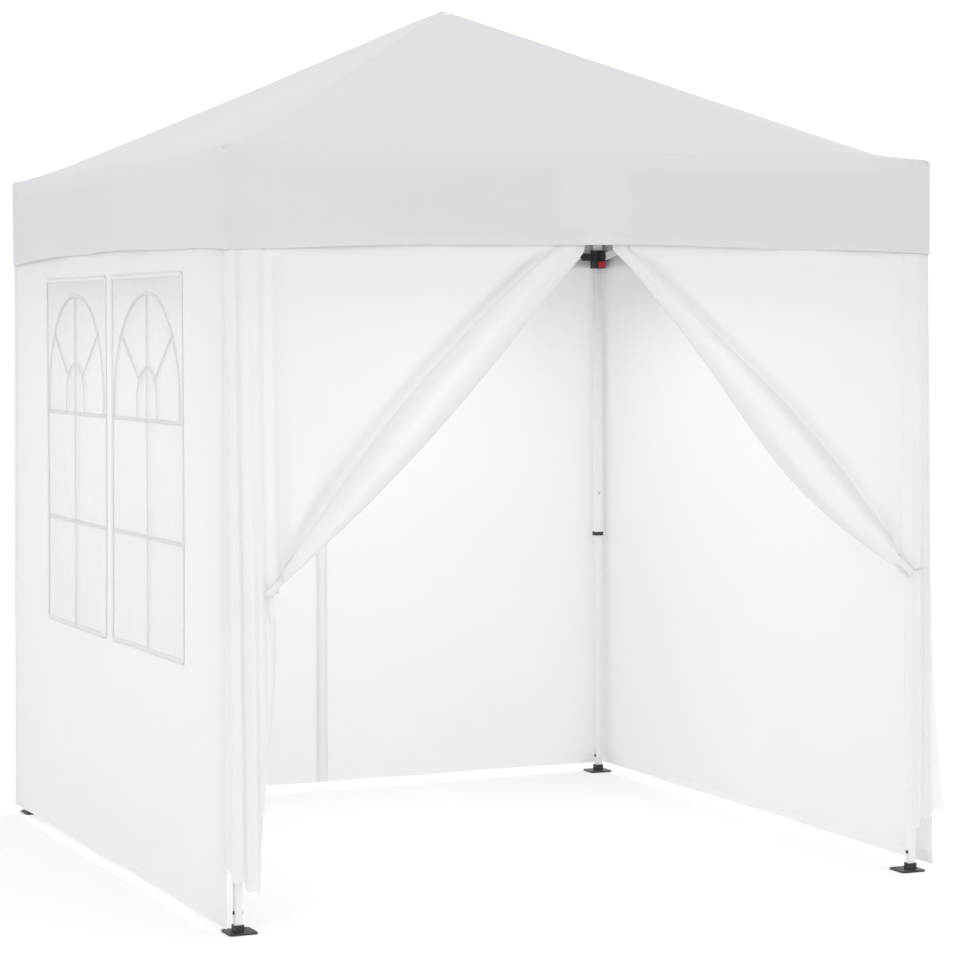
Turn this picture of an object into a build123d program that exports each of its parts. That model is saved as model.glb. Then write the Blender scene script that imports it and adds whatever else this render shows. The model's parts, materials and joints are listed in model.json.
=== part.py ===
from build123d import *
import os
from math import atan2, degrees, hypot

# A pop up canopy, 2 m by 2 m and 2.4 m tall. Four telescoping legs carry a scissor truss on each
# side, four roof bars and a centre hub with the peak pole. A pyramid roof with a valance, two plain
# side walls, one side wall with two arched windows and a door wall with tied-back halves cover it.
# Millimetres, +Z up, the door faces -Y, the windows face -X. The origin is the floor's centre.

# Driving dimensions
LEG_HALF = 972.0  # from the centre to a leg's axis, along X and along Y
UPPER_LEG = 25.0
LOWER_LEG = 20.0
LEG_WALL = 1.2
UPPER_BOTTOM = 800.0
UPPER_TOP = 1910.0
LOWER_TOP = 1000.0
FOOT_THICK = 5.0
FOOT_SIZE = 74.0
FOOT_SHIFT = 6.0  # how far the foot plate's middle lies inside the leg's axis
STAKE_HOLE = 30.0  # from the leg's axis to the stake hole, along X and along Y
STAKE_RADIUS = 5.0
FOOT_BOLT_HEIGHT = 52.0
TOP_PIVOT = 1890.0  # height of the fixed pivots
SLIDER_PIVOT = 1722.0  # height of the sliding pivots with the canopy open
MID_REACH = 30.0  # from a truss to the outer pivot of its roof bar
HUB_REACH = 20.0  # from the hub's axis to a roof bar's inner pivot
EAR_REACH = MID_REACH + HUB_REACH  # from a leg's axis to its pivots
BAR_WIDTH = 20.0
BAR_THICK = 10.0
BAR_WALL = 0.8
LAYER = 6.0  # from the truss's middle plane to the middle of each layer of bars
RIVET_RADIUS = 3.0
HOLE_RADIUS = 3.05
HEAD_RADIUS = 5.0
HEAD_THICK = 2.0
HEAD_GAP = 0.1
EAR_THICK = 3.0
EAR_GAP = 1.0
EAR_RADIUS = 12.0
BUTTON_HEIGHT = 935.0
EAVE = 1937.0
KINK_IN = 100.0  # the roof's nearly flat rim
KINK_RISE = 15.0
PEAK = 2400.0
PEAK_FLAT = 15.0
ROOF_HALF = 1004.0
ROOF_THICK = 1.0
VALANCE_BOTTOM = 1690.0
WALL_PLANE = 998.0
WALL_THICK = 1.0
WALL_HALF = 996.5
WALL_BOTTOM = 22.0
WALL_TOP = 1900.0
WINDOW_INNER = 28.0  # from the wall's middle to each window
WINDOW_WIDTH = 620.0
WINDOW_SILL = 640.0
ARCH_HEIGHT = 1290.0  # height of the arches' centres
FILM_THICK = 0.5
FILM_LAP = 10.0
POLE_RADIUS = 7.0
POLE_WALL = 1.0
CAP_RADIUS = 28.0
CAP_BOTTOM = 2372.0
CAP_THICK = 18.0
CAP_POCKET = 12.0

HALF_RUN = LEG_HALF - EAR_REACH  # each bar's run along its side
MID_HEIGHT = (TOP_PIVOT + SLIDER_PIVOT) / 2

CORNERS = {
    "front_left": (-1, -1),
    "front_right": (1, -1),
    "back_left": (-1, 1),
    "back_right": (1, 1),
}

# Each side: its first corner, its last corner, the direction along it, the direction out of it
SIDES = {
    "front": ("front_left", "front_right", (1, 0), (0, -1)),
    "right": ("front_right", "back_right", (0, 1), (1, 0)),
    "left": ("front_left", "back_left", (0, 1), (-1, 0)),
    "back": ("back_left", "back_right", (1, 0), (0, 1)),
}


def side_plane(side):
    """The middle plane of a side's truss: X along the side, Y up."""
    _, _, along, outward = SIDES[side]
    origin = (outward[0] * LEG_HALF, outward[1] * LEG_HALF, 0)
    return Plane(origin=origin, x_dir=(*along, 0), z_dir=(along[1], -along[0], 0))


def outer_layer(side):
    """Where the outer layer of bars lies, along the normal of the side's plane."""
    _, _, along, outward = SIDES[side]
    return LAYER * (along[1] * outward[0] - along[0] * outward[1])


def roof_plane(side):
    """The plane of a side's roof bar: X from the hub's axis outwards, Y up."""
    outward = SIDES[side][3]
    return Plane(origin=(0, 0, 0), x_dir=(*outward, 0), z_dir=(outward[1], -outward[0], 0))


def cylinder_on(plane, point, radius, low, high, mode=Mode.ADD):
    """A cylinder along a plane's normal, from one offset to another."""
    with BuildSketch(plane.offset(low)) as outline:
        with Locations(point):
            Circle(radius)
    extrude(outline.sketch, amount=high - low, mode=mode)


def rivet(plane, point, low, high):
    """A rivet whose heads clear the faces at the two offsets."""
    cylinder_on(plane, point, RIVET_RADIUS, low - HEAD_GAP, high + HEAD_GAP)
    cylinder_on(plane, point, HEAD_RADIUS, low - HEAD_GAP - HEAD_THICK, low - HEAD_GAP)
    cylinder_on(plane, point, HEAD_RADIUS, high + HEAD_GAP, high + HEAD_GAP + HEAD_THICK)


def ears(plane, root, point, middle):
    """Two ears from a root to a pivot, one on each side of the bar that they hold."""
    reach = BAR_THICK / 2 + EAR_GAP
    for low in (middle + reach, middle - reach - EAR_THICK):
        with BuildSketch(plane.offset(low)) as outline:
            with Locations(((root + point[0]) / 2, point[1])):
                Rectangle(abs(point[0] - root), 2 * EAR_RADIUS)
            with Locations(point):
                Circle(EAR_RADIUS)
                Circle(HOLE_RADIUS, mode=Mode.SUBTRACT)
        extrude(outline.sketch, amount=EAR_THICK)


def fork_rivet(plane, point, middle):
    """The rivet that holds a bar between two ears."""
    reach = BAR_THICK / 2 + EAR_GAP + EAR_THICK
    rivet(plane, point, middle - reach, middle + reach)


def flat_tube(plane, start, end, middle, holes):
    """A rectangular tube with rounded ends between two pivots."""
    run, rise = end[0] - start[0], end[1] - start[1]
    centre = ((start[0] + end[0]) / 2, (start[1] + end[1]) / 2)
    angle = degrees(atan2(rise, run))
    inside = BAR_THICK - 2 * BAR_WALL
    with BuildSketch(plane.offset(middle - BAR_THICK / 2)) as outline:
        with Locations(centre):
            SlotCenterToCenter(hypot(run, rise), BAR_WIDTH, rotation=angle)
        with Locations(*holes):
            Circle(HOLE_RADIUS, mode=Mode.SUBTRACT)
    extrude(outline.sketch, amount=BAR_THICK)
    with BuildSketch(plane.offset(middle - inside / 2)) as outline:
        with Locations(centre):
            Rectangle(hypot(run, rise) + 2 * BAR_WIDTH, BAR_WIDTH - 2 * BAR_WALL, rotation=angle)
    extrude(outline.sketch, amount=inside, mode=Mode.SUBTRACT)


def square_tube(centre, bottom, top, size, wall):
    """An upright square tube."""
    with BuildSketch(Plane.XY.offset(bottom)) as outline:
        with Locations(centre):
            RectangleRounded(size, size, 2 * wall)
            Rectangle(size - 2 * wall, size - 2 * wall, mode=Mode.SUBTRACT)
    extrude(outline.sketch, amount=top - bottom)


def block(centre, bottom, top, size, corner):
    """An upright square block with rounded corners."""
    with BuildSketch(Plane.XY.offset(bottom)) as outline:
        with Locations(centre):
            RectangleRounded(size, size, corner)
    extrude(outline.sketch, amount=top - bottom)


def pocket(centre, bottom, top, size):
    """A square hollow cut out of a block."""
    with BuildSketch(Plane.XY.offset(bottom)) as outline:
        with Locations(centre):
            Rectangle(size, size)
    extrude(outline.sketch, amount=top - bottom, mode=Mode.SUBTRACT)


def pivots_at(corner):
    """Each side that meets a corner: its plane, the leg's X, the pivots' X and the two layers."""
    for side, (first, last, _, _) in SIDES.items():
        if corner in (first, last):
            end = -1 if corner == first else 1
            outer = outer_layer(side)
            bracket_layer, slider_layer = (outer, -outer) if end < 0 else (-outer, outer)
            yield side_plane(side), end * LEG_HALF, end * HALF_RUN, bracket_layer, slider_layer


def finish(piece, name):
    piece.part.label = name
    export_step(piece.part, f"parts/{name}.step")


os.makedirs("parts", exist_ok=True)

# Legs, feet, corner brackets, sliders and buttons
BRACKET_SIZE = 34.0
BRACKET_BOTTOM = 1862.0
BRACKET_TOP = 1920.0
BRACKET_POCKET = 25.3
SLIDER_SIZE = 37.0
SLIDER_BOTTOM = SLIDER_PIVOT - 38.0
SLIDER_TOP = SLIDER_PIVOT + 22.0
SLIDER_POCKET = 26.0
COLLAR_SIZE = 28.5
COLLAR_BOTTOM = UPPER_BOTTOM - 6.0
COLLAR_TOP = UPPER_BOTTOM + 6.0
COLLAR_BORE = 21.0
COLLAR_SEAT = 25.2
SOCKET_SIZE = 26.0
SOCKET_TOP = 22.0
SOCKET_POCKET = 20.2
HEIGHT_BUTTON_RADIUS = 4.0
HEIGHT_BUTTON_TOP = 10.9  # it stops inside the upper tube's inner face
HEIGHT_BUTTON_BASE = 4.0
HOUSING_END = 32.0
HOUSING_WIDTH = 28.0
HOUSING_TOP = SLIDER_PIVOT - EAR_RADIUS
BUTTON_POCKET = (24.0, 22.0)
BUTTON_HEAD = (23.0, 21.0)
BUTTON_SEAT = 20.0
BUTTON_START = 24.5
BUTTON_END = 41.5
STEM_SIZE = 8.0
STEM_HOLE = 9.0
STEM_START = 17.3

for corner, (sx, sy) in CORNERS.items():
    axis = (sx * LEG_HALF, sy * LEG_HALF)
    # The plane of the buttons: X along the row's X, Y up, its normal towards the canopy's inside
    inward = Plane(origin=(*axis, 0), x_dir=(sy, 0, 0), z_dir=(0, -sy, 0))
    push_point = (0, (SLIDER_BOTTOM + HOUSING_TOP) / 2)

    with BuildPart() as upper_leg:
        square_tube(axis, UPPER_BOTTOM, UPPER_TOP, UPPER_LEG, LEG_WALL)
        cylinder_on(inward, (0, BUTTON_HEIGHT), 4.6, 8.0, UPPER_LEG, mode=Mode.SUBTRACT)
    finish(upper_leg, f"{corner}_upper_leg")

    with BuildPart() as lower_leg:
        square_tube(axis, FOOT_THICK, LOWER_TOP, LOWER_LEG, LEG_WALL)
        cylinder_on(inward, (0, BUTTON_HEIGHT), 4.1, 5.0, LOWER_LEG, mode=Mode.SUBTRACT)
        across = Plane(origin=(*axis, 0), x_dir=(0, 1, 0), z_dir=(1, 0, 0))
        cylinder_on(across, (0, FOOT_BOLT_HEIGHT), 3.1, -LOWER_LEG, LOWER_LEG, mode=Mode.SUBTRACT)
    finish(lower_leg, f"{corner}_lower_leg")

    with BuildPart() as foot:
        with BuildSketch():
            with Locations((axis[0] - sx * FOOT_SHIFT, axis[1] - sy * FOOT_SHIFT)):
                RectangleRounded(FOOT_SIZE, FOOT_SIZE, 8.0)
            with Locations((axis[0] - sx * STAKE_HOLE, axis[1] - sy * STAKE_HOLE)):
                Circle(STAKE_RADIUS, mode=Mode.SUBTRACT)
        extrude(amount=FOOT_THICK)
        block(axis, FOOT_THICK, SOCKET_TOP, SOCKET_SIZE, 2.0)
        pocket(axis, FOOT_THICK, SOCKET_TOP, SOCKET_POCKET)
        rivet(across, (0, FOOT_BOLT_HEIGHT), -LOWER_LEG / 2, LOWER_LEG / 2)
    finish(foot, f"{corner}_foot")

    with BuildPart() as bracket:
        block(axis, BRACKET_BOTTOM, BRACKET_TOP, BRACKET_SIZE, 4.0)
        fillet(bracket.faces().sort_by(Axis.Z)[-1].edges(), 3.0)
        pocket(axis, BRACKET_BOTTOM, UPPER_TOP + 0.5, BRACKET_POCKET)
        for plane, leg_x, pivot_x, layer, _ in pivots_at(corner):
            root = leg_x + (15.0 if pivot_x > leg_x else -15.0)
            ears(plane, root, (pivot_x, TOP_PIVOT), layer)
            fork_rivet(plane, (pivot_x, TOP_PIVOT), layer)
        block(axis, COLLAR_BOTTOM, COLLAR_TOP, COLLAR_SIZE, 3.0)
        pocket(axis, COLLAR_BOTTOM, COLLAR_TOP, COLLAR_BORE)
        pocket(axis, UPPER_BOTTOM - 0.1, COLLAR_TOP, COLLAR_SEAT)
    finish(bracket, f"{corner}_corner_bracket")

    with BuildPart() as slider:
        block(axis, SLIDER_BOTTOM, SLIDER_TOP, SLIDER_SIZE, 4.0)
        with BuildSketch(inward):
            with Locations(push_point):
                Rectangle(HOUSING_WIDTH, HOUSING_TOP - SLIDER_BOTTOM)
        extrude(amount=HOUSING_END)
        pocket(axis, SLIDER_BOTTOM, SLIDER_TOP, SLIDER_POCKET)
        with BuildSketch(inward.offset(BUTTON_SEAT)):
            with Locations(push_point):
                Rectangle(*BUTTON_POCKET)
        extrude(amount=HOUSING_END, mode=Mode.SUBTRACT)
        with BuildSketch(inward.offset(UPPER_LEG / 2)):
            with Locations(push_point):
                Rectangle(STEM_HOLE, STEM_HOLE)
        extrude(amount=HOUSING_END, mode=Mode.SUBTRACT)
        for plane, leg_x, pivot_x, _, layer in pivots_at(corner):
            root = leg_x + (16.0 if pivot_x > leg_x else -16.0)
            ears(plane, root, (pivot_x, SLIDER_PIVOT), layer)
            fork_rivet(plane, (pivot_x, SLIDER_PIVOT), layer)
    finish(slider, f"{corner}_slider")

    with BuildPart() as release_button:
        with BuildSketch(inward.offset(BUTTON_START)):
            with Locations(push_point):
                RectangleRounded(*BUTTON_HEAD, 4.0)
        extrude(amount=BUTTON_END - BUTTON_START)
        with BuildSketch(inward.offset(STEM_START)):
            with Locations(push_point):
                Rectangle(STEM_SIZE, STEM_SIZE)
        extrude(amount=BUTTON_START - STEM_START)
    finish(release_button, f"{corner}_release_button")

    with BuildPart() as height_button:
        cylinder_on(inward, (0, BUTTON_HEIGHT), HEIGHT_BUTTON_RADIUS, HEIGHT_BUTTON_BASE, HEIGHT_BUTTON_TOP)
        fillet(height_button.edges().sort_by(Axis.Y)[-1 if sy < 0 else 0], 1.5)
        cylinder_on(inward, (0, BUTTON_HEIGHT), 6.0, HEIGHT_BUTTON_BASE, HEIGHT_BUTTON_BASE + 1.5)
    finish(height_button, f"{corner}_height_button")

# Truss bars. On each side bars 1 and 2 cross in the first half, bars 3 and 4 in the second.
# Bars 1 and 3 run between a corner bracket and the low middle pivot and hold the crossing rivets.
HIGH_MIDDLE = (0, TOP_PIVOT)
LOW_MIDDLE = (0, SLIDER_PIVOT)

for side in SIDES:
    plane = side_plane(side)
    outer = outer_layer(side)
    first_crossing = (-HALF_RUN / 2, MID_HEIGHT)
    last_crossing = (HALF_RUN / 2, MID_HEIGHT)
    bars = {
        1: ((-HALF_RUN, TOP_PIVOT), LOW_MIDDLE, outer, (first_crossing, LOW_MIDDLE)),
        2: ((-HALF_RUN, SLIDER_PIVOT), HIGH_MIDDLE, -outer, ()),
        3: (LOW_MIDDLE, (HALF_RUN, TOP_PIVOT), -outer, (last_crossing,)),
        4: (HIGH_MIDDLE, (HALF_RUN, SLIDER_PIVOT), outer, ()),
    }
    for number, (start, end, layer, riveted) in bars.items():
        crossing = first_crossing if number < 3 else last_crossing
        with BuildPart() as truss_bar:
            flat_tube(plane, start, end, layer, (start, crossing, end))
            for point in riveted:
                rivet(plane, point, -LAYER - BAR_THICK / 2, LAYER + BAR_THICK / 2)
        finish(truss_bar, f"{side}_truss_bar_{number}")

# Middle brackets: each holds the high middle pivot of its truss and the roof bar's outer pivot
PLATE_LOW = LAYER + BAR_THICK / 2 + EAR_GAP
PLATE_HIGH = PLATE_LOW + EAR_THICK
BRIDGE_BOTTOM = TOP_PIVOT + EAR_RADIUS
BRIDGE_TOP = TOP_PIVOT + 20.0

for side in SIDES:
    plane = side_plane(side)
    bar_plane = roof_plane(side)
    outward = SIDES[side][3]
    roof_pivot = (LEG_HALF - MID_REACH, TOP_PIVOT)
    with BuildPart() as mid_bracket:
        for low in (PLATE_LOW, -PLATE_HIGH):
            with BuildSketch(plane.offset(low)):
                with Locations((0, (TOP_PIVOT + BRIDGE_TOP) / 2)):
                    Rectangle(2 * EAR_RADIUS, BRIDGE_TOP - TOP_PIVOT)
                with Locations(HIGH_MIDDLE):
                    Circle(EAR_RADIUS)
                    Circle(HOLE_RADIUS, mode=Mode.SUBTRACT)
            extrude(amount=EAR_THICK)
        with BuildSketch(plane.offset(-PLATE_HIGH)):
            with Locations((0, (BRIDGE_BOTTOM + BRIDGE_TOP) / 2)):
                Rectangle(2 * EAR_RADIUS, BRIDGE_TOP - BRIDGE_BOTTOM)
        extrude(amount=2 * PLATE_HIGH)
        ears(bar_plane, LEG_HALF - PLATE_HIGH + 1.0, roof_pivot, 0)
        rivet(plane, HIGH_MIDDLE, -PLATE_HIGH, PLATE_HIGH)
        fork_rivet(bar_plane, roof_pivot, 0)
    finish(mid_bracket, f"{side}_mid_bracket")

# Roof bars, from the middle brackets down to the hub
HUB_PIVOT = (HUB_REACH, SLIDER_PIVOT)

for side in SIDES:
    with BuildPart() as roof_bar:
        outer_end = (LEG_HALF - MID_REACH, TOP_PIVOT)
        flat_tube(roof_plane(side), HUB_PIVOT, outer_end, 0, (HUB_PIVOT, outer_end))
    finish(roof_bar, f"{side}_roof_bar")

# Centre hub
HUB_RADIUS = 34.0
HUB_TOP = SLIDER_PIVOT - EAR_RADIUS
HUB_THICK = 10.0

with BuildPart() as centre_hub:
    with BuildSketch(Plane.XY.offset(HUB_TOP - HUB_THICK)):
        Circle(HUB_RADIUS)
    extrude(amount=HUB_THICK)
    for side in SIDES:
        ears(roof_plane(side), HUB_REACH + EAR_RADIUS, HUB_PIVOT, 0)
    for side in SIDES:
        fork_rivet(roof_plane(side), HUB_PIVOT, 0)
finish(centre_hub, "centre_hub")

# Peak pole and its cap
with BuildPart() as peak_pole:
    with BuildSketch(Plane.XY.offset(HUB_TOP)):
        Circle(POLE_RADIUS)
        Circle(POLE_RADIUS - POLE_WALL, mode=Mode.SUBTRACT)
    extrude(amount=CAP_BOTTOM + CAP_POCKET - HUB_TOP - 0.2)
    with BuildSketch(Plane.XY.offset(CAP_BOTTOM)):
        Circle(CAP_RADIUS)
        Circle(POLE_RADIUS + 0.1, mode=Mode.SUBTRACT)
    extrude(amount=CAP_POCKET)
    with BuildSketch(Plane.XY.offset(CAP_BOTTOM + CAP_POCKET)):
        Circle(CAP_RADIUS)
    extrude(amount=CAP_THICK - CAP_POCKET)
    fillet(peak_pole.faces().sort_by(Axis.Z)[-1].edges(), 5.0)
finish(peak_pole, "peak_pole")


def square_at(height, half):
    with BuildSketch(Plane.XY.offset(height)) as square:
        Rectangle(2 * half, 2 * half)
    return square.sketch


def pyramid(drop, inset, mode):
    """The roof's form down to the valance's hem, lowered and drawn in by its thickness."""
    eave_half = ROOF_HALF - inset
    with BuildSketch(Plane.XY.offset(VALANCE_BOTTOM)) as outline:
        Rectangle(2 * eave_half, 2 * eave_half)
    extrude(outline.sketch, amount=EAVE - drop - VALANCE_BOTTOM, mode=mode)
    rim = square_at(EAVE - drop, eave_half)
    kink = square_at(EAVE + KINK_RISE - drop, ROOF_HALF - KINK_IN)
    top = square_at(PEAK - drop, PEAK_FLAT)
    loft([rim, kink], ruled=True, mode=mode)
    loft([kink, top], ruled=True, mode=mode)


# Roof and valance, one sewn cover
with BuildPart() as roof_canopy:
    pyramid(0, 0, Mode.ADD)
    pyramid(ROOF_THICK, ROOF_THICK, Mode.SUBTRACT)
finish(roof_canopy, "roof_canopy")

# Walls. The left wall's plane has X along the row's Y, and Z towards the inside.
LEFT_WALL = Plane(origin=(-WALL_PLANE, 0, 0), x_dir=(0, 1, 0), z_dir=(1, 0, 0))
WALL_MIDDLE = (0, (WALL_BOTTOM + WALL_TOP) / 2)
WALL_RISE = WALL_TOP - WALL_BOTTOM


def arched_window(middle, grow, mode):
    """The outline of an arched window, larger all round by grow."""
    half = WINDOW_WIDTH / 2 + grow
    with Locations((middle, (WINDOW_SILL - grow + ARCH_HEIGHT) / 2)):
        Rectangle(2 * half, ARCH_HEIGHT - WINDOW_SILL + grow, mode=mode)
    with Locations((middle, ARCH_HEIGHT)):
        Circle(half, mode=mode)


WINDOWS = (-WINDOW_INNER - WINDOW_WIDTH / 2, WINDOW_INNER + WINDOW_WIDTH / 2)

with BuildPart() as left_wall:
    with BuildSketch(LEFT_WALL):
        with Locations(WALL_MIDDLE):
            Rectangle(2 * WALL_HALF, WALL_RISE)
        for window in WINDOWS:
            arched_window(window, 0, Mode.SUBTRACT)
    extrude(amount=WALL_THICK)
finish(left_wall, "left_wall")

with BuildPart() as left_window_film:
    for window in WINDOWS:
        with BuildSketch(LEFT_WALL.offset(WALL_THICK + 0.3)):
            arched_window(window, FILM_LAP, Mode.ADD)
        extrude(amount=FILM_THICK)
finish(left_window_film, "left_window_film")

with BuildPart() as right_wall:
    with BuildSketch(Plane.YZ.offset(WALL_PLANE - WALL_THICK)):
        with Locations(WALL_MIDDLE):
            Rectangle(2 * WALL_HALF, WALL_RISE)
    extrude(amount=WALL_THICK)
finish(right_wall, "right_wall")

# The back wall closes with a zip under a flap down its middle
FLAP_WIDTH = 30.0
FLAP_THICK = 1.0

with BuildPart() as back_door_wall:
    with BuildSketch(Plane.XZ.offset(-WALL_PLANE)):
        with Locations(WALL_MIDDLE):
            Rectangle(2 * WALL_HALF, WALL_RISE)
    extrude(amount=WALL_THICK)
    with BuildSketch(Plane.XZ.offset(-WALL_PLANE + WALL_THICK)):
        with Locations(WALL_MIDDLE):
            Rectangle(FLAP_WIDTH, WALL_RISE)
    extrude(amount=FLAP_THICK)
finish(back_door_wall, "back_door_wall")

# The front wall's two halves, each drawn back in a long roll to a tie beside its leg, below which
# the gathered cloth hangs down
ROLL_PLANE = 1006.0
ROLL_THICK = 18.0
ROLL_TOP = 1684.0
LEFT_PANEL = [(-WALL_HALF, WALL_TOP), (-12, WALL_TOP), (-12, ROLL_TOP), (-858, 850), (-864, 112), (-955, 160),
              (-WALL_HALF, 170)]
LEFT_ROLL = [(-12, ROLL_TOP), (-858, 850), (-864, 112), (-955, 160), (-940, 870), (-130, ROLL_TOP)]
RIGHT_PANEL = [(WALL_HALF, WALL_TOP), (12, WALL_TOP), (12, ROLL_TOP), (918, 830), (890, 190), (985, 120),
               (WALL_HALF, 130)]
RIGHT_ROLL = [(12, ROLL_TOP), (918, 830), (890, 190), (985, 120), (990, 850), (130, ROLL_TOP)]

with BuildPart() as front_door_wall:
    for outline in (LEFT_PANEL, RIGHT_PANEL):
        with BuildSketch(Plane.XZ.offset(WALL_PLANE - WALL_THICK)):
            Polygon(*outline, align=None)
        extrude(amount=WALL_THICK)
    for outline in (LEFT_ROLL, RIGHT_ROLL):
        with BuildSketch(Plane.XZ.offset(ROLL_PLANE - ROLL_THICK)):
            Polygon(*outline, align=None)
        extrude(amount=ROLL_THICK)
finish(front_door_wall, "front_door_wall")
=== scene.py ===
import json
from math import asin, cos, pi, radians, sin
import bmesh
import bpy
import numpy as np
from mathutils import Euler, Matrix, Vector


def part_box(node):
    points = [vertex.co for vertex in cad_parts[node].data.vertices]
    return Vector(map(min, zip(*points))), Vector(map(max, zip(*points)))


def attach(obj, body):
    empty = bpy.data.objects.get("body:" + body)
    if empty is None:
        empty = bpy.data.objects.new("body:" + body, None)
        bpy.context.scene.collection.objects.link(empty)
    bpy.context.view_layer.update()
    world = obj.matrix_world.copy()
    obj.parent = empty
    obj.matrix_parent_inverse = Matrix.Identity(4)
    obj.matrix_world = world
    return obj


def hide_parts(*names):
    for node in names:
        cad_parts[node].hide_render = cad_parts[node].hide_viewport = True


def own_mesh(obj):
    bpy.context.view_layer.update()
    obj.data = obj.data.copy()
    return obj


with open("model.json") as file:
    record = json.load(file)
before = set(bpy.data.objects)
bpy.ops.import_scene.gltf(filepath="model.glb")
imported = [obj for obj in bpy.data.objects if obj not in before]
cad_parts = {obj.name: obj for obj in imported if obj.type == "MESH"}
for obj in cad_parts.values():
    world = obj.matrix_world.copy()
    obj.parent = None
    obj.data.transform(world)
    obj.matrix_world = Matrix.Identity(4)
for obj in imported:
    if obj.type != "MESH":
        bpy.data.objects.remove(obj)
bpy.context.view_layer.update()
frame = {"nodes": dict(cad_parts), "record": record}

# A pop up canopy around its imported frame. Metres, +Z up, the door faces -Y, the windows face -X.

ROOF_LOW, ROOF_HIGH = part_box("roof_canopy")
WALL_LOW, WALL_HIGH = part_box("left_wall")
FRONT_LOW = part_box("front_door_wall")[0]
HALF = ROOF_HIGH.x  # from the middle to the valance
PEAK = ROOF_HIGH.z
EAVE = 1.937  # the roof's edge, where the valance starts
HEM = ROOF_LOW.z
WALL_AT = -WALL_LOW.x  # from the middle to the walls' outer faces
WALL_END = WALL_HIGH.y + 0.003
WALL_TOP = WALL_HIGH.z
WALL_FOOT = WALL_LOW.z

ROOT = "front_left_leg"
SIDES = {
    # side: the direction along it from its first corner to its last, and the direction out of it
    "front": (Vector((1, 0, 0)), Vector((0, -1, 0))),
    "right": (Vector((0, 1, 0)), Vector((1, 0, 0))),
    "left": (Vector((0, 1, 0)), Vector((-1, 0, 0))),
    "back": (Vector((1, 0, 0)), Vector((0, 1, 0))),
}
FIRST_LEG = {"front": ROOT, "left": ROOT, "right": "front_right_leg", "back": "back_left_leg"}


# ---------------------------------------------------------------- meshes

def mesh_piece(name, points, faces, material, smooth=True):
    mesh = bpy.data.meshes.new(name)
    mesh.from_pydata([tuple(p) for p in points], [], faces)
    mesh.validate()
    mesh.update()
    for polygon in mesh.polygons:
        polygon.use_smooth = smooth
    piece = bpy.data.objects.new(name, mesh)
    bpy.context.scene.collection.objects.link(piece)
    mesh.materials.append(material)
    return piece


def grid_piece(name, rows, material, closed=False):
    """A sheet through a grid of points, rows by columns; closed joins the last column to the first."""
    rows = np.asarray(rows, float)
    down, across = rows.shape[:2]
    faces = []
    for i in range(down - 1):
        for j in range(across if closed else across - 1):
            k = (j + 1) % across
            faces.append((i * across + j, (i + 1) * across + j, (i + 1) * across + k, i * across + k))
    return mesh_piece(name, rows.reshape(-1, 3), faces, material)


def merged(piece, distance):
    """Joins points that lie together, as at the roof's peak."""
    made = bmesh.new()
    made.from_mesh(piece.data)
    bmesh.ops.remove_doubles(made, verts=made.verts, dist=distance)
    made.to_mesh(piece.data)
    made.free()
    return piece


def finished(piece, body, slot, *nodes):
    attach(piece, body)
    if nodes:
        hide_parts(*nodes)
    return piece


def smooth_step(value):
    value = np.clip(value, 0, 1)
    return value * value * (3 - 2 * value)


def bump(value, middle, width):
    return np.exp(-((value - middle) / width) ** 2)


# ---------------------------------------------------------------- materials

class Nodes:
    """A short way to write a node tree."""

    def __init__(self, name):
        self.material = bpy.data.materials.new(name)
        self.material.use_nodes = True
        self.tree = self.material.node_tree
        self.tree.nodes.clear()
        self.out = self.add("ShaderNodeOutputMaterial")
        self.place = self.add("ShaderNodeTexCoord").outputs["Object"]

    def add(self, kind, inputs=None, **settings):
        node = self.tree.nodes.new(kind)
        for key, value in settings.items():
            setattr(node, key, value)
        for key, value in (inputs or {}).items():
            if isinstance(value, bpy.types.NodeSocket):
                self.tree.links.new(value, node.inputs[key])
            else:
                node.inputs[key].default_value = value
        return node

    def math(self, operation, first, second=0.0):
        return self.add("ShaderNodeMath", {0: first, 1: second}, operation=operation).outputs[0]

    def noise(self, scale, detail=3.0, roughness=0.5):
        inputs = {"Vector": self.place, "Scale": scale, "Detail": detail, "Roughness": roughness}
        return self.add("ShaderNodeTexNoise", inputs).outputs["Fac"]

    def wave(self, direction, scale):
        inputs = {"Vector": self.place, "Scale": scale, "Distortion": 0.0}
        return self.add("ShaderNodeTexWave", inputs, bands_direction=direction).outputs["Fac"]

    def stretched_noise(self, scale, size, detail=2.0):
        mapping = self.add("ShaderNodeMapping", {"Vector": self.place, "Scale": size})
        inputs = {"Vector": mapping.outputs[0], "Scale": scale, "Detail": detail}
        return self.add("ShaderNodeTexNoise", inputs).outputs["Fac"]

    def bump(self, height, distance, strength=1.0, normal=None):
        inputs = {"Height": height, "Distance": distance, "Strength": strength}
        if normal is not None:
            inputs["Normal"] = normal
        return self.add("ShaderNodeBump", inputs).outputs[0]

    def tint(self, factor, low, high):
        inputs = {0: factor, 6: (*low, 1), 7: (*high, 1)}
        return self.add("ShaderNodeMix", inputs, data_type="RGBA").outputs[2]

    def shade(self, surface):
        self.tree.links.new(surface, self.out.inputs["Surface"])
        return self.material


def scaled(color, share):
    return tuple(c * share for c in color)


WEAVE_SCALE = 210.0  # threads to the metre in the wave texture's own scale


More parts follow.
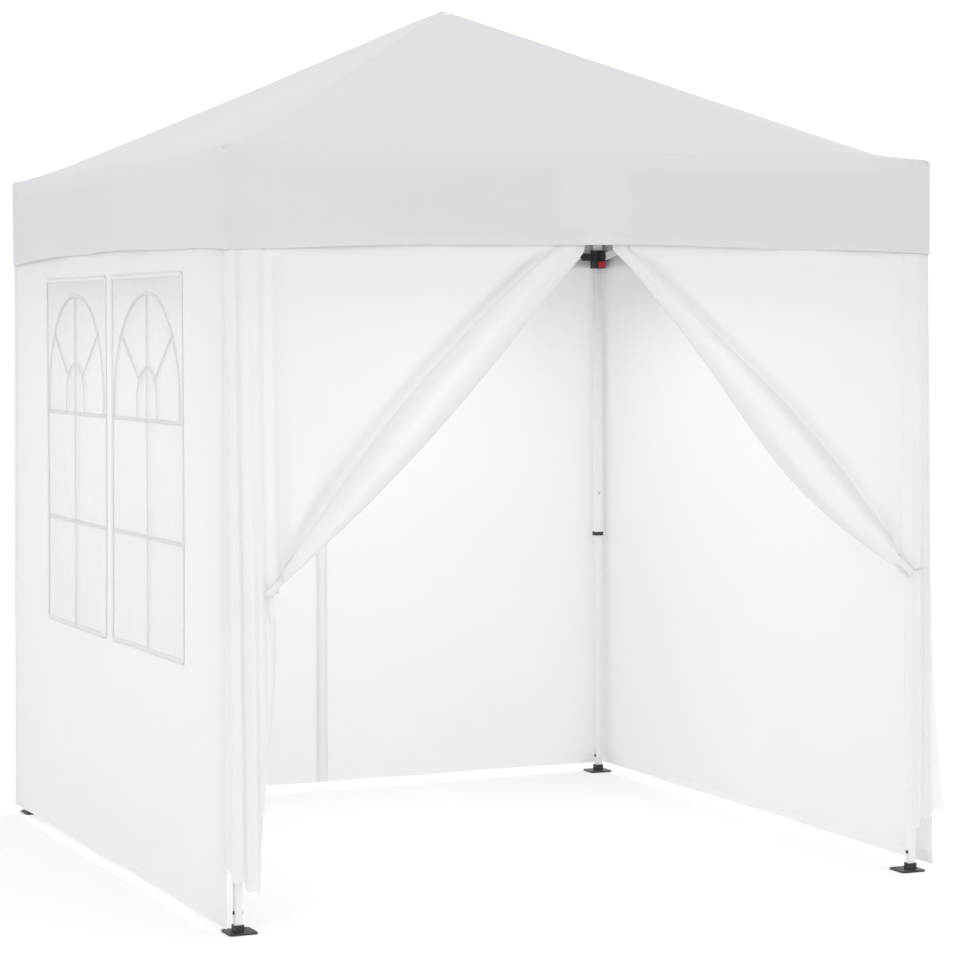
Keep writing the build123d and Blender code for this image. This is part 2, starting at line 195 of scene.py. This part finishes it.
def fabric(name, color, warp, weft, through, roughness=0.72, sheen=0.15):
    """Coated polyester cloth: a plain weave, slight creases, uneven tone, and light that comes through."""
    n = Nodes(name)
    threads = n.math("MAXIMUM", n.wave(warp, WEAVE_SCALE), n.wave(weft, WEAVE_SCALE))
    weave = n.bump(threads, 0.00018, 0.35)
    creases = n.bump(n.noise(9.0, 3.0, 0.55), 0.0035, 0.35, weave)
    slack = n.bump(n.stretched_noise(2.2, (1.0, 1.0, 0.35)), 0.012, 0.5, creases)
    tone = n.tint(n.noise(1.6, 2.0), scaled(color, 0.975), color)
    cloth = n.add("ShaderNodeBsdfPrincipled", {
        "Base Color": tone, "Roughness": roughness, "Normal": slack, "Sheen Weight": sheen,
        "Sheen Roughness": 0.4, "Specular IOR Level": 0.25})
    lit = n.add("ShaderNodeBsdfTranslucent", {"Color": tone, "Normal": slack})
    mixed = n.add("ShaderNodeMixShader", {0: through, 1: cloth.outputs[0], 2: lit.outputs[0]})
    return n.shade(mixed.outputs[0])


def plastic(name, color, roughness, grain=600.0):
    """Moulded plastic with a fine grain and rubbed, paler marks."""
    n = Nodes(name)
    wear = n.math("SMOOTH_MAX", n.noise(60.0, 4.0, 0.7), 0.55)
    tone = n.tint(wear, color, tuple(min(1.0, c * 1.6 + 0.01) for c in color))
    normal = n.bump(n.noise(grain, 2.0), 0.0001, 0.5)
    rough = n.math("ADD", n.math("MULTIPLY", n.noise(35.0), 0.15), roughness)
    return n.shade(n.add("ShaderNodeBsdfPrincipled", {
        "Base Color": tone, "Roughness": rough, "Normal": normal}).outputs[0])


def coated_steel(name, color):
    """Powder-coated steel tube: orange peel, faint scuffs along the tube."""
    n = Nodes(name)
    scuffs = n.stretched_noise(40.0, (1.0, 1.0, 0.06), 4.0)
    tone = n.tint(scuffs, scaled(color, 0.95), color)
    peel = n.bump(n.noise(420.0, 2.0), 0.00012, 0.5)
    rough = n.math("ADD", n.math("MULTIPLY", scuffs, 0.18), 0.28)
    return n.shade(n.add("ShaderNodeBsdfPrincipled", {
        "Base Color": tone, "Roughness": rough, "Normal": peel, "Coat Weight": 0.15}).outputs[0])


def bare_steel(name, color):
    n = Nodes(name)
    brushed = n.stretched_noise(300.0, (1.0, 0.1, 1.0), 3.0)
    rough = n.math("ADD", n.math("MULTIPLY", brushed, 0.2), 0.25)
    tone = n.tint(brushed, scaled(color, 0.85), color)
    return n.shade(n.add("ShaderNodeBsdfPrincipled", {
        "Base Color": tone, "Roughness": rough, "Metallic": 1.0}).outputs[0])


def film(name, color, clear):
    """Clear vinyl: a thin glossy skin with slow ripples over what shows through."""
    n = Nodes(name)
    ripples = n.bump(n.noise(7.0, 2.0), 0.006, 0.5)
    tone = n.tint(n.noise(3.0, 2.0), scaled(color, 0.96), color)
    skin = n.add("ShaderNodeBsdfPrincipled", {
        "Base Color": tone, "Roughness": 0.12, "Normal": ripples, "Specular IOR Level": 0.5})
    glow = n.add("ShaderNodeBsdfTranslucent", {"Color": tone})
    milky = n.add("ShaderNodeMixShader", {0: 0.4, 1: skin.outputs[0], 2: glow.outputs[0]})
    seen = n.add("ShaderNodeBsdfTransparent", {"Color": (0.97, 0.97, 0.98, 1)})
    mixed = n.add("ShaderNodeMixShader", {0: clear, 1: milky.outputs[0], 2: seen.outputs[0]})
    return n.shade(mixed.outputs[0])


ROOF_COLOR = (0.70, 0.693, 0.722)
WALL_COLOR = (0.828, 0.826, 0.834)
ROOF_CLOTH = {
    "front": fabric("roof_cloth_x", ROOF_COLOR, "X", "Z", 0.10),
    "left": fabric("roof_cloth_y", ROOF_COLOR, "Y", "Z", 0.10),
}
ROOF_CLOTH["back"] = ROOF_CLOTH["front"]
ROOF_CLOTH["right"] = ROOF_CLOTH["left"]
ROOF_TOP_CLOTH = fabric("roof_cloth_top", ROOF_COLOR, "X", "Y", 0.10)
WALL_CLOTH = {
    "front": fabric("wall_cloth_x", WALL_COLOR, "X", "Z", 0.27, sheen=0.05),
    "left": fabric("wall_cloth_y", WALL_COLOR, "Y", "Z", 0.25, sheen=0.05),
}
WALL_CLOTH["back"] = WALL_CLOTH["front"]
WALL_CLOTH["right"] = WALL_CLOTH["left"]
# The door curtains are cut from the wall cloth, painted 2% lighter: painted light that lifts the curtains,
# their rolled-back bands and ties, which the lamps leave dimmer.
DOOR_CLOTH_PAINTED_LIGHTER = fabric("door_cloth_painted_lighter", scaled(WALL_COLOR, 1.02), "X", "Z", 0.26, sheen=0.05)
MUNTIN = fabric("muntin_tape", (0.70, 0.70, 0.72), "Y", "Z", 0.1)
BORDER = fabric("border_tape", (0.79, 0.79, 0.80), "Y", "Z", 0.15)
PANE_FILM = film("pane_film", (0.79, 0.79, 0.81), 0.15)
SPANDREL_FILM = film("spandrel_film", (0.84, 0.84, 0.84), 0.3)

STEEL = coated_steel("white_coated_steel", (0.86, 0.86, 0.87))
BLACK = plastic("black_moulding", (0.018, 0.018, 0.02), 0.45)
RED = plastic("red_moulding", (0.36, 0.015, 0.04), 0.3)
ZINC = bare_steel("zinc_steel", (0.62, 0.62, 0.64))

SLOT_MATERIALS = {"white_steel": STEEL, "black_plastic": BLACK, "red_plastic": RED, "bright_steel": ZINC}
NODE_SLOTS = {subpart["node"]: subpart["material_slot"] for subpart in frame["record"]["subparts"]}

for node, part in frame["nodes"].items():
    chosen = SLOT_MATERIALS.get(NODE_SLOTS[node])
    if chosen:
        part.data.materials.clear()
        part.data.materials.append(chosen)


# ---------------------------------------------------------------- roof

RIM = 0.1  # the nearly flat part of each hip, from the corner inwards
RIM_RISE = 0.015
EAVE_ROUND = 0.006
SEAM_HALF = 0.011
SEAM_LIFT = 0.0013
PEAK_ROUND = 0.03
ROOF_SLACK = 0.016
ROOF_RIPPLE = 0.0016
SPLIT = 0.38  # from the side's middle to where each half of it is cut in two


def roof_height(across, out):
    """The roof's height, for the distance across from the side's middle and out from the peak."""
    across, out = np.abs(across), np.asarray(out, float)
    plain = EAVE + (PEAK - EAVE) * (1 - out / HALF)
    past = np.maximum(0, out - (HALF - RIM))
    kinked = np.where(past > 0, EAVE + RIM_RISE * (1 - past / RIM),
                      EAVE + RIM_RISE + (PEAK - EAVE - RIM_RISE) * (1 - out / (HALF - RIM)))
    hip = np.clip(across / np.maximum(out, 1e-6), 0, 1)
    height = plain + (kinked - plain) * hip**8
    slack = ROOF_SLACK * np.sin(pi * np.clip(out / HALF, 0, 1)) * (1 - hip**2)
    ripple = ROOF_RIPPLE * np.cos(across * 19) * np.sin(out * 8) * np.sin(pi * out / HALF) * (1 - hip**4)
    seam = SEAM_LIFT * smooth_step((SEAM_HALF - (out - across) * 0.7071) / 0.004)
    tip = PEAK_ROUND * 0.1
    blunt = tip * np.exp(-(out / PEAK_ROUND) ** 2)
    edge = EAVE_ROUND * smooth_step((out - (HALF - EAVE_ROUND)) / EAVE_ROUND)
    return height - slack + ripple + seam - blunt - edge


def gore(side, way, corner):
    """One of a side's four roof cuts. way is -1 for its first half, 1 for its last; corner is by the leg."""
    along, outward = SIDES[side]
    low, high = (SPLIT, HALF) if corner else (0, SPLIT)
    rows = []
    count = 50 if corner else 32
    for across in np.concatenate([np.linspace(low, high, count), HALF - np.array([0.012, 0.006])]):
        if not low <= across <= high:
            continue
        start = across + SEAM_HALF * 2.4
        past_seam = np.linspace(start, HALF - 0.02, 70)[1:] if start < HALF - 0.03 else np.full(69, HALF)
        outs = np.concatenate([across + SEAM_HALF * np.array([0, 0.5, 0.9, 1.15, 1.4, 1.7, 2.4]), past_seam,
                               HALF - EAVE_ROUND * np.array([2.4, 1, 0.6, 0.3, 0])])
        outs = np.clip(outs, across, HALF) if start < HALF - 0.03 else np.linspace(across, HALF, len(outs))
        rows.append([across, [along * (way * across) + outward * out + Vector((0, 0, height))
                              for out, height in zip(outs, roof_height(across, outs))]])
    rows = [points for across, points in sorted(rows, key=lambda row: row[0])]
    name = f"roof_{side}_{'first' if way < 0 else 'last'}_{'corner' if corner else 'middle'}"
    piece = face_up(merged(grid_piece(name, rows, ROOF_TOP_CLOTH), 2e-5))
    bar = f"{side}_truss_bar_{(1 if corner else 2) + (0 if way < 0 else 2)}"
    finished(piece, bar, "canopy_fabric")
    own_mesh(piece)
    return piece


def face_up(piece):
    """Turns the faces' normals upwards, so that both halves of a side shade alike."""
    if sum(p.normal.z * p.area for p in piece.data.polygons) < 0:
        piece.data.flip_normals()
    return piece


for side in SIDES:
    for way in (-1, 1):
        for corner in (True, False):
            piece = gore(side, way, corner)
            if piece.name == "roof_front_first_corner":
                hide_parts("roof_canopy")


# ---------------------------------------------------------------- valance

VALANCE_ARCH = 0.017  # how much higher the hem is at a side's middle than at its ends
VALANCE_PHASE = {"front": 0.3, "right": 1.7, "left": 2.9, "back": 4.1}


def valance(side):
    along, outward = SIDES[side]
    phase = VALANCE_PHASE[side]
    across = np.concatenate([[-HALF, -HALF + 0.004, -HALF + 0.012],
                             np.linspace(-HALF + 0.03, HALF - 0.03, 150),
                             [HALF - 0.012, HALF - 0.004, HALF]])
    share = across / HALF
    hem = HEM - 0.004 + VALANCE_ARCH * (1 - share**2) + 0.0016 * np.sin(across * 9 + phase)
    rows = []
    for down in np.concatenate([np.linspace(0, 0.86, 26), [0.885, 0.893, 0.9, 0.95, 0.985, 1.0]]):
        height = EAVE - EAVE_ROUND + (hem - EAVE + EAVE_ROUND) * down
        ends = 1 - share**8
        wave = (0.0028 * np.sin(across * 7.3 + phase) * down
                + 0.0016 * np.sin(across * 17 + phase * 2) * down**2)
        lip = 0.0012 * smooth_step((down - 0.885) / 0.012)
        out = HALF + (wave + 0.002 * down + lip) * ends
        rows.append([along * a + outward * o + Vector((0, 0, h)) for a, o, h in zip(across, out, height)])
    piece = grid_piece(f"valance_{side}", rows, ROOF_CLOTH[side])
    finished(piece, FIRST_LEG[side], "canopy_fabric")
    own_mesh(piece)


for side in SIDES:
    valance(side)


# ---------------------------------------------------------------- walls

WINDOW_WIDTH = 0.62
WINDOW_GAP = 0.056
SILL = 0.64
WINDOW_TOP = 1.632
ARCH_SPRING = 1.30
ARCH_RADIUS = 0.287
FAN_RADIUS = 0.09
RAILS = (0.94, 1.25)
RAY_ANGLES = (38, 142)
WINDOWS = ((WINDOW_WIDTH + WINDOW_GAP) / -2, (WINDOW_WIDTH + WINDOW_GAP) / 2)
FRAME_TAPE = 0.012
MUNTIN_TAPE = 0.009
FILM_LAP = 0.008  # how far the film reaches behind the window's border

FLARE = 0.016  # how much wider the walls stand at their foot, clear of the feet


def flare(height):
    return FLARE * (WALL_TOP - height) / (WALL_TOP - WALL_FOOT)


def spread(height):
    """The share by which a wall widens with its flare, so that the walls still meet at the corners."""
    return 1 + flare(height) / WALL_END


def wall_out(across, height, phase):
    """How far a hanging wall stands off its plane: slow vertical folds, a slack middle and a stiff hem."""
    across, height = np.asarray(across, float), np.asarray(height, float)
    ends = 1 - np.clip(np.abs(across) / WALL_END, 0, 1) ** 6
    drop = (WALL_TOP - height) / (WALL_TOP - WALL_FOOT)
    folds = (0.0035 * np.sin(across * 6.2 + phase)
             + 0.0022 * np.sin(across * 14.5 + phase * 1.7 + height * 0.8))
    belly = -0.006 * np.sin(pi * drop)
    return (folds * (0.25 + 0.9 * drop) + belly) * ends + flare(height)


def in_window(across, height):
    return any(abs(across - w) < WINDOW_WIDTH / 2 and SILL < height < WINDOW_TOP for w in WINDOWS)


def plain_wall(name, side, body, nodes, phase, low=-WALL_END, high=WALL_END, windows=False):
    """A hanging wall from low to high along its side; a window wall leaves holes for its windows."""
    along, outward = SIDES[side]
    edges = [low, low + 0.02, low + 0.022, high - 0.022, high - 0.02, high]
    if windows:
        edges += [w + s * WINDOW_WIDTH / 2 for w in WINDOWS for s in (-1, 1)]
    columns = np.linspace(low, high, int((high - low) * 75))
    across = np.unique(np.round(np.concatenate([edges, columns]), 5))
    heights = [WALL_FOOT, WALL_FOOT + 0.025, WALL_FOOT + 0.028, WALL_TOP]
    heights += [SILL, WINDOW_TOP] if windows else []
    height = np.unique(np.round(np.concatenate([heights, np.linspace(WALL_FOOT, WALL_TOP, 110)]), 5))[::-1]
    points, faces = [], []
    for h in height:
        out = wall_out(across, h, phase)
        hem = 0.0011 * (h < WALL_FOOT + 0.0265)
        side_hem = 0.0009 * ((across < low + 0.021) | (across > high - 0.021))
        for a, o, s in zip(across, out, side_hem):
            points.append(along * (a * spread(h)) + outward * (WALL_AT + o + hem + s) + Vector((0, 0, h)))
    count = len(across)
    for i in range(len(height) - 1):
        for j in range(count - 1):
            if windows and in_window((across[j] + across[j + 1]) / 2, (height[i] + height[i + 1]) / 2):
                continue
            faces.append((i * count + j, (i + 1) * count + j, (i + 1) * count + j + 1, i * count + j + 1))
    piece = mesh_piece(name, points, faces, WALL_CLOTH[side])
    finished(piece, body, "wall_fabric", *nodes)
    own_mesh(piece)
    return piece


LEFT_PHASE, RIGHT_PHASE, BACK_PHASE = 0.4, 2.2, 3.3
window_wall = plain_wall("left_window_wall", "left", ROOT, ["left_wall"], LEFT_PHASE, windows=True)
plain_wall("right_plain_wall", "right", "front_right_leg", ["right_wall"], RIGHT_PHASE)
ZIP_GAP = 0.004
plain_wall("back_wall_first", "back", "back_left_leg", ["back_door_wall"], BACK_PHASE, high=-ZIP_GAP)
plain_wall("back_wall_last", "back", "back_left_leg", [], BACK_PHASE, low=ZIP_GAP)


def on_left_wall(y, z, out):
    return Vector((-WALL_AT - wall_out(y, z, LEFT_PHASE) - out, y * spread(z), z))


def strip(name, path, width, out, thickness, material):
    """A tape sewn on the left wall along a path of (y, z) points."""
    path = [Vector(p) for p in path]
    rows = []
    for i, point in enumerate(path):
        before, after = path[max(0, i - 1)], path[min(len(path) - 1, i + 1)]
        way = (after - before).normalized()
        normal = Vector((-way.y, way.x))
        rows.append([point + normal * (width * s) for s in (-0.5, -0.44, 0.0, 0.44, 0.5)])
    lift = (0.0, thickness, thickness * 1.1, thickness, 0.0)
    points = [[on_left_wall(p.x, p.y, out + l) for p, l in zip(row, lift)] for row in rows]
    return grid_piece(name, points, material)


def line(start, end, count=24):
    return [tuple(Vector(start).lerp(Vector(end), i / (count - 1))) for i in range(count)]


def arc(middle, radius, first, last, count=40):
    angles = [radians(first + (last - first) * i / (count - 1)) for i in range(count)]
    return [(middle[0] + radius * cos(a), middle[1] + radius * sin(a)) for a in angles]


def joined(name, pieces):
    for o in bpy.context.selected_objects:
        o.select_set(False)
    for piece in pieces:
        piece.select_set(True)
    bpy.context.view_layer.objects.active = pieces[0]
    bpy.ops.object.join()
    pieces[0].name = name
    pieces[0].data.name = name
    return pieces[0]


def rides_left_wall(piece, slot, nodes=()):
    finished(piece, ROOT, slot, *nodes)
    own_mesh(piece)


muntins = []
for w in WINDOWS:
    left, right = w - WINDOW_WIDTH / 2, w + WINDOW_WIDTH / 2
    spring = (w, ARCH_SPRING)
    for z in RAILS:
        muntins.append(strip("rail", line((left, z), (right, z)), MUNTIN_TAPE, 0.0012, 0.0011, MUNTIN))
    mullion = line((w, SILL), (w, ARCH_SPRING + ARCH_RADIUS))
    muntins.append(strip("mullion", mullion, MUNTIN_TAPE, 0.0015, 0.0011, MUNTIN))
    for name, radius in (("arch", ARCH_RADIUS), ("fan", FAN_RADIUS)):
        feet = [(w + radius, RAILS[1]), (w - radius, RAILS[1])]
        path = feet[:1] + arc(spring, radius, 0, 180) + feet[1:]
        muntins.append(strip(name, path, MUNTIN_TAPE * 0.9, 0.0018, 0.0011, MUNTIN))
    for angle in RAY_ANGLES:
        inner, outer = [(w + radius * cos(radians(angle)), ARCH_SPRING + radius * sin(radians(angle)))
                        for radius in (FAN_RADIUS, ARCH_RADIUS)]
        muntins.append(strip("ray", line(inner, outer), MUNTIN_TAPE * 0.8, 0.0015, 0.0011, MUNTIN))
rides_left_wall(joined("window_muntins", muntins), "wall_fabric")

borders = []
for w in WINDOWS:
    left, right = w - WINDOW_WIDTH / 2, w + WINDOW_WIDTH / 2
    for start, end in (((left, SILL), (right, SILL)), ((left, WINDOW_TOP), (right, WINDOW_TOP)),
                       ((left, SILL), (left, WINDOW_TOP)), ((right, SILL), (right, WINDOW_TOP))):
        borders.append(strip("border", line(start, end), FRAME_TAPE, 0.0008, 0.0012, BORDER))
rides_left_wall(joined("window_borders", borders), "wall_fabric")


def film_patch(w, inside_arch):
    """Film behind one window: either what lies under the arch, or the two corners above it."""
    half = WINDOW_WIDTH / 2 + FILM_LAP
    across = np.linspace(-half, half, 50)
    arch = ARCH_SPRING + np.sqrt(np.maximum(ARCH_RADIUS**2 - np.minimum(np.abs(across), ARCH_RADIUS) ** 2, 0))
    if inside_arch:
        low, high = np.full_like(across, SILL - FILM_LAP), arch
    else:
        low, high = arch, np.full_like(across, WINDOW_TOP + FILM_LAP)
    rows = []
    for share in np.linspace(0, 1, 40):
        behind = -0.0012 - 0.003 * sin(pi * share) * (1 - (across / half) ** 2)
        rows.append([on_left_wall(w + a, l + (h - l) * share, b)
                     for a, l, h, b in zip(across, low, high, behind)])
    return grid_piece("film", rows, PANE_FILM if inside_arch else SPANDREL_FILM)


panes = joined("window_panes", [film_patch(w, True) for w in WINDOWS])
rides_left_wall(panes, "clear_film", ["left_window_film"])
spandrels = joined("window_spandrels", [film_patch(w, False) for w in WINDOWS])
rides_left_wall(spandrels, "clear_film")


# ---------------------------------------------------------------- back zip

# The zip flap's section: across from the zip, and how far inside the wall. Its middle also waves.
FLAP_SECTION = ((-0.021, 0.0012), (-0.019, 0.0030), (-0.007, 0.0042), (0.0, 0.0046), (0.011, 0.0040),
                (0.0145, 0.0014))


def back_zip():
    outward = SIDES["back"][1]
    rows = []
    for z in np.linspace(WALL_TOP, WALL_FOOT, 90):
        out = float(wall_out(np.array([0.02]), z, BACK_PHASE)[0])
        wave = 0.0012 * sin(z * 7)
        rows.append([Vector((x, 0, z)) + outward * (WALL_AT + out - depth - (wave if x == 0 else 0))
                     for x, depth in FLAP_SECTION])
    flap = grid_piece("back_zip_flap", rows, WALL_CLOTH["back"])
    finished(flap, "back_left_leg", "wall_fabric")
    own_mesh(flap)


back_zip()


# ---------------------------------------------------------------- door curtains

CURTAIN_AT = WALL_AT + 0.002
CURTAIN_FOOT = FRONT_LOW.z + 0.01

# Each half of the door wall is rolled back to its leg and tied there. Distances run from the middle outwards:
# top and tie are the rolled edge's ends, bow its sag, band and swell the roll's width, inner_foot and swing
# where the hem's ends hang, and hem their heights.
CURTAINS = {
    "left": dict(way=-1, body=ROOT, swing=0.0, top=0.03, tie=(0.875, 0.855), bow=0.045, bow_at=1.3,
                 band=(0.09, 0.02), swell=0.10, swell_at=1.0, inner_foot=0.935, hem=(0.10, 0.16), seed=0.0),
    "right": dict(way=1, body="front_right_leg", swing=0.036, top=0.05, tie=(0.905, 0.835), bow=0.085,
                  bow_at=2.0, band=(0.05, 0.05), swell=0.13, swell_at=1.6, inner_foot=0.92,
                  hem=(0.13, 0.17), seed=1.9),
}


def under_valance(z):
    """1 behind the valance, falling to 0 just below its hem."""
    return float(smooth_step((z - HEM + 0.028) / 0.034))


def folds_to_leg(piece):
    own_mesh(piece)


def down_share(c, z):
    """0 at the valance's hem, 1 at the tie."""
    return float(np.clip((HEM - z) / (HEM - c["tie"][1]), 0, 1))


def fold_line(c, z):
    """How far from the middle the rolled edge is at this height."""
    t = down_share(c, z)
    return c["top"] + (c["tie"][0] - c["top"]) * t - c["bow"] * sin(pi * t ** c["bow_at"])


def band_width(c, z):
    t = down_share(c, z)
    return c["band"][0] + (c["band"][1] - c["band"][0]) * t + c["swell"] * sin(pi * t ** c["swell_at"])


def curtain_edges(c, z):
    """The panel's free edge and its corner edge at this height, from the middle outwards."""
    tie_z = c["tie"][1]
    corner = WALL_END + flare(z)
    if z >= tie_z:
        return fold_line(c, z) + 0.75 * band_width(c, z), corner
    t = (tie_z - z) / (tie_z - CURTAIN_FOOT)
    inner = c["tie"][0] + 0.012 + (c["inner_foot"] - c["tie"][0] - 0.012) * t**1.2
    inner += 0.003 * sin(9 * z) * min(1, 9 * t)
    return inner, corner + c["swing"] * t**1.6


def curtain_folds(c, across, z):
    """How far the cloth stands out: upright folds beside the leg, soft creases that fan out from the tie."""
    tie_x, tie_z = c["tie"]
    seed = c["seed"]
    beside = smooth_step((across - tie_x + 0.04) / 0.05)
    lower = float(smooth_step((tie_z + 0.5 - z) / 0.7))
    upright = (0.0050 + 0.0065 * lower) * (1 + 0.55 * np.sin((across - tie_x) * 118 + seed + 0.5 * z)
                                           + 0.30 * np.sin((across - tie_x) * 205 + 2 * seed - 0.9 * z))
    away = np.hypot(across - tie_x, z - tie_z)
    bearing = np.arctan2(z - tie_z, tie_x - across)
    fan = 0.0026 * np.sin(bearing * 17 + seed) * np.exp(-((away - 0.22) / 0.2) ** 2) * (z > tie_z)
    slack = 0.0045 * np.sin(2.6 * across + 2.4 * z + seed) * np.sin(pi * np.clip((HEM - z) / 0.9, 0, 1))
    crease = fold_line(c, z) + band_width(c, z)
    trough = -0.013 * bump(across, crease + 0.014, 0.028) * (tie_z < z < HEM)
    edge = smooth_step((WALL_END - across) / 0.018)
    return (0.006 + upright * beside + (fan + slack + trough) * (1 - beside)) * edge


def curtain_panel(side):
    c = CURTAINS[side]
    way, tie_z = c["way"], c["tie"][1]
    share = 1 - np.linspace(0, 1, 200)[::-1] ** 1.15
    rows = []
    heights = np.concatenate([np.linspace(WALL_TOP, tie_z + 0.08, 80),
                              np.linspace(tie_z + 0.07, tie_z - 0.06, 22),
                              np.linspace(tie_z - 0.07, CURTAIN_FOOT, 60)])
    for z in heights:
        inner, outer = curtain_edges(c, z)
        across = inner + (outer - inner) * share
        covered = under_valance(z)
        out = CURTAIN_AT + flare(z) * (1 - covered) + curtain_folds(c, across, z) * (1 - covered)
        t = max(0.0, (tie_z - z) / (tie_z - CURTAIN_FOOT))
        hem = c["hem"][0] + (c["hem"][1] - c["hem"][0]) * share
        hem = hem + 0.010 * np.sin(2 * pi * 2.4 * share + c["seed"])
        drop = z + (hem - CURTAIN_FOOT) * t**2
        rows.append([Vector((way * a, -o, h)) for a, o, h in zip(across, out, drop)])
    piece = grid_piece(f"door_curtain_{side}", rows, DOOR_CLOTH_PAINTED_LIGHTER)
    finished(piece, c["body"], "wall_fabric", *(["front_door_wall"] if way < 0 else []))
    folds_to_leg(piece)


def curtain_roll(side):
    """The free half of the curtain, folded back along the slanting edge, as an open flattened roll."""
    c = CURTAINS[side]
    way, seed = c["way"], c["seed"]
    rows = []
    for z in np.linspace(HEM + 0.06, c["tie"][1] - 0.012, 100):
        t = down_share(c, z)
        edge, width = fold_line(c, z), band_width(c, z)
        covered = under_valance(z)
        puff = (0.0125 * (1 - 0.3 * t) + 0.0015 * sin(9 * z + seed)) * (1 - covered) + 0.001 * covered
        middle = CURTAIN_AT - 0.001 + flare(z) * (1 - covered) + puff * 0.75
        row = []
        for angle in np.linspace(-0.25 * pi, 1.35 * pi, 48):
            # round a flattened oval: its front from the inner crease to the fold, then back behind
            lay = 0.5 - 0.5 * cos(angle)
            ripple = 0.0016 * sin(7 * angle + 6 * z + seed) * sin(pi * lay) * (1 - covered)
            out = middle + (puff + ripple) * sin(angle)
            row.append(Vector((way * (edge + width * (1 - lay)), -out, z)))
        rows.append(row)
    piece = grid_piece(f"door_roll_{side}", rows, DOOR_CLOTH_PAINTED_LIGHTER)
    finished(piece, c["body"], "wall_fabric")
    folds_to_leg(piece)


def band_around(name, middle, half_width, half_depth, tall, tilt, count=64):
    """A flat band round a bundle, its ring tilted in the curtain's plane."""
    rows = []
    for across in (-0.5, -0.44, 0.0, 0.44, 0.5):
        row = []
        for i in range(count):
            angle = 2 * pi * i / count
            ring = Vector((half_width * cos(angle), half_depth * sin(angle), tall * across))
            ring.rotate(Euler((0, tilt, 0)))
            row.append(middle + ring * (1.0 if abs(across) < 0.47 else 0.985))
        rows.append(row)
    return grid_piece(name, rows, DOOR_CLOTH_PAINTED_LIGHTER, closed=True)


def tie_strap(side):
    c = CURTAINS[side]
    way = c["way"]
    middle = Vector((way * (c["tie"][0] + 0.014), -(CURTAIN_AT + 0.018), c["tie"][1] + 0.004))
    strap = band_around(f"tie_strap_{side}", middle, 0.030, 0.019, 0.018, way * 0.75)
    finished(strap, c["body"], "wall_fabric")
    folds_to_leg(strap)


def loose_strap():
    """The left tie's long free end, hanging in a bow below the knot."""
    c = CURTAINS["left"]
    rows = []
    for t in np.linspace(0, 1, 50):
        z = c["tie"][1] - 0.02 - 0.46 * t
        x = -(c["tie"][0] + 0.03) + 0.032 * sin(pi * min(1, t * 1.1)) - 0.018 * t
        out = CURTAIN_AT + 0.021 - 0.010 * t + 0.003 * sin(6 * t)
        turn = 0.5 * sin(4 * t)
        rows.append([Vector((x + 0.0095 * s * cos(turn), -(out + 0.0095 * s * sin(turn)), z))
                     for s in (-1, -0.9, 0, 0.9, 1)])
    piece = grid_piece("tie_strap_end", rows, DOOR_CLOTH_PAINTED_LIGHTER)
    finished(piece, c["body"], "wall_fabric")
    folds_to_leg(piece)


for side in CURTAINS:
    curtain_panel(side)
    curtain_roll(side)
    tie_strap(side)
loose_strap()


# ---------------------------------------------------------------- floor, light and camera

FLOOR_HALF = 60
WORLD_STRENGTH = 1.06
# name, place, aim, size and power in watts
LIGHTS = (
    ("key_light", (-5.2, -5.6, 4.0), (-0.5, -0.5, 1.0), 2.5, 48),
    ("back_light", (3.6, 4.6, 2.4), (0.6, 0.6, 0.9), 4.0, 95),
    ("inner_light", (0, 0, 1.62), (0, 0, 0), 1.5, 12),
)
CAMERA_LENS = 107.65  # mm
CAMERA_PLACE = (-3.2509, -7.6442, 1.5043)
CAMERA_YAW, CAMERA_PITCH, CAMERA_ROLL = radians(23.759), radians(-3.129), radians(0.210)


def floor():
    n = Nodes("floor_white")
    tone = n.tint(n.noise(0.8), (0.955, 0.955, 0.955), (0.965, 0.965, 0.965))
    material = n.shade(n.add("ShaderNodeBsdfDiffuse", {"Color": tone}).outputs[0])
    size = FLOOR_HALF
    points = [(-size, -size, 0), (size, -size, 0), (size, size, 0), (-size, size, 0)]
    mesh_piece("floor", points, [(0, 1, 2, 3)], material)


def area_light(name, place, aim, size, power):
    light = bpy.data.lights.new(name, "AREA")
    light.size = size
    light.energy = power
    holder = bpy.data.objects.new(name, light)
    holder.location = place
    holder.rotation_euler = (Vector(aim) - Vector(place)).to_track_quat("-Z", "Y").to_euler()
    holder.visible_camera = False
    bpy.context.scene.collection.objects.link(holder)


def studio():
    world = bpy.data.worlds.new("studio")
    world.use_nodes = True
    background = world.node_tree.nodes["Background"]
    background.inputs["Color"].default_value = (1, 1, 1, 1)
    background.inputs["Strength"].default_value = WORLD_STRENGTH
    bpy.context.scene.world = world
    bpy.context.scene.view_settings.view_transform = "Standard"
    for light in LIGHTS:
        area_light(*light)


def camera():
    lens = bpy.data.cameras.new("camera")
    lens.lens = CAMERA_LENS
    holder = bpy.data.objects.new("camera", lens)
    level = cos(CAMERA_PITCH)
    aim = Vector((sin(CAMERA_YAW) * level, cos(CAMERA_YAW) * level, sin(CAMERA_PITCH)))
    turn = aim.to_track_quat("-Z", "Y").to_matrix().to_4x4()
    holder.matrix_world = Matrix.Translation(CAMERA_PLACE) @ turn @ Matrix.Rotation(-CAMERA_ROLL, 4, "Z")
    bpy.context.scene.collection.objects.link(holder)
    bpy.context.scene.camera = holder


floor()
studio()
camera()
